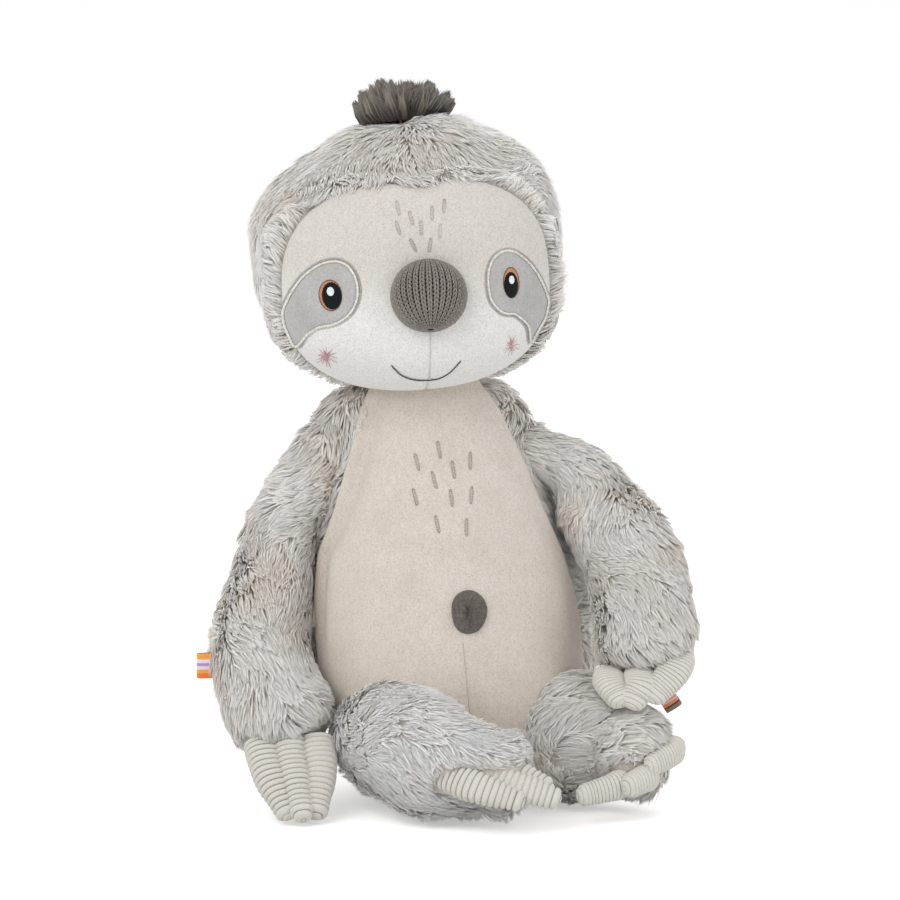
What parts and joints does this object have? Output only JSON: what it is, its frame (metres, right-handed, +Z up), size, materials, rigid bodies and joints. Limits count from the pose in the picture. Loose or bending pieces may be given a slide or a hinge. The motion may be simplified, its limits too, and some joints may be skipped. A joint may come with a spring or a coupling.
{
  "type": "cuddly toy",
  "caption": "Seated plush sloth with long-pile fur, velour face and belly, knitted nose, corduroy claws and limbs that swing.",
  "frame": {"origin": "middle of the flat seat, on the surface that the toy sits on", "axes": "+Z up through the head, the toy looks along -Y, its own left side is +X"},
  "size_m": [0.2723, 0.2108, 0.3916],
  "materials": {
    "long_pile_fur": "matte",
    "cream_velour": "matte",
    "grey_velour": "matte",
    "embroidery": "satin",
    "knit": "matte",
    "corduroy": "matte",
    "yarn": "matte",
    "filling": "matte",
    "bean_pouch": "matte",
    "ribbon": "satin"
  },
  "bodies": {
    "torso": {"body_fur": "long_pile_fur", "belly_panel_right": "cream_velour", "belly_panel_left": "cream_velour", "navel_patch": "knit", "seat_bean_pouch": "bean_pouch", "body_filling": "filling"},
    "neck": {"neck_filling": "filling"},
    "head": {"hood_fur_right": "long_pile_fur", "hood_fur_left": "long_pile_fur", "face_panel_right": "cream_velour", "face_panel_left": "cream_velour", "head_filling": "filling", "eye_patch_right": "grey_velour", "eye_right": "embroidery", "eye_patch_left": "grey_velour", "eye_left": "embroidery", "nose_cover": "knit", "nose_filling": "filling", "hair_tuft": "yarn"},
    "arm_right": {"arm_right_fur": "long_pile_fur", "arm_right_filling": "filling", "hand_claws_right": "corduroy", "label_loop_arm": "ribbon"},
    "arm_left": {"arm_left_fur": "long_pile_fur", "arm_left_filling": "filling", "hand_claws_left": "corduroy"},
    "leg_right": {"leg_right_fur": "long_pile_fur", "leg_right_filling": "filling", "foot_claws_right": "corduroy"},
    "leg_left": {"leg_left_fur": "long_pile_fur", "leg_left_filling": "filling", "foot_claws_left": "corduroy", "label_loop_leg": "ribbon"}
  },
  "joints": [
    {"name": "neck_turn", "type": "hinge", "parent": "torso", "child": "neck", "pos_m": [-0.023, 0, 0.232], "axis": [0, 0, 1], "range_deg": [-25, 25]},
    {"name": "neck_nod", "type": "hinge", "parent": "neck", "child": "head", "pos_m": [-0.023, 0, 0.232], "axis": [-1, 0, 0], "range_deg": [-10, 10]},
    {"name": "shoulder_right", "type": "hinge", "parent": "torso", "child": "arm_right", "pos_m": [-0.071, 0, 0.184], "axis": [-1, 0, 0], "range_deg": [0, 70]},
    {"name": "shoulder_left", "type": "hinge", "parent": "torso", "child": "arm_left", "pos_m": [0.036, 0, 0.188], "axis": [-1, 0, 0], "range_deg": [0, 70]},
    {"name": "hip_right", "type": "hinge", "parent": "torso", "child": "leg_right", "pos_m": [-0.042, -0.018, 0.0305], "axis": [-1, 0, 0], "range_deg": [0, 25]},
    {"name": "hip_left", "type": "hinge", "parent": "torso", "child": "leg_left", "pos_m": [0.036, -0.018, 0.0315], "axis": [0, 0, 1], "range_deg": [0, 25]}
  ]
}
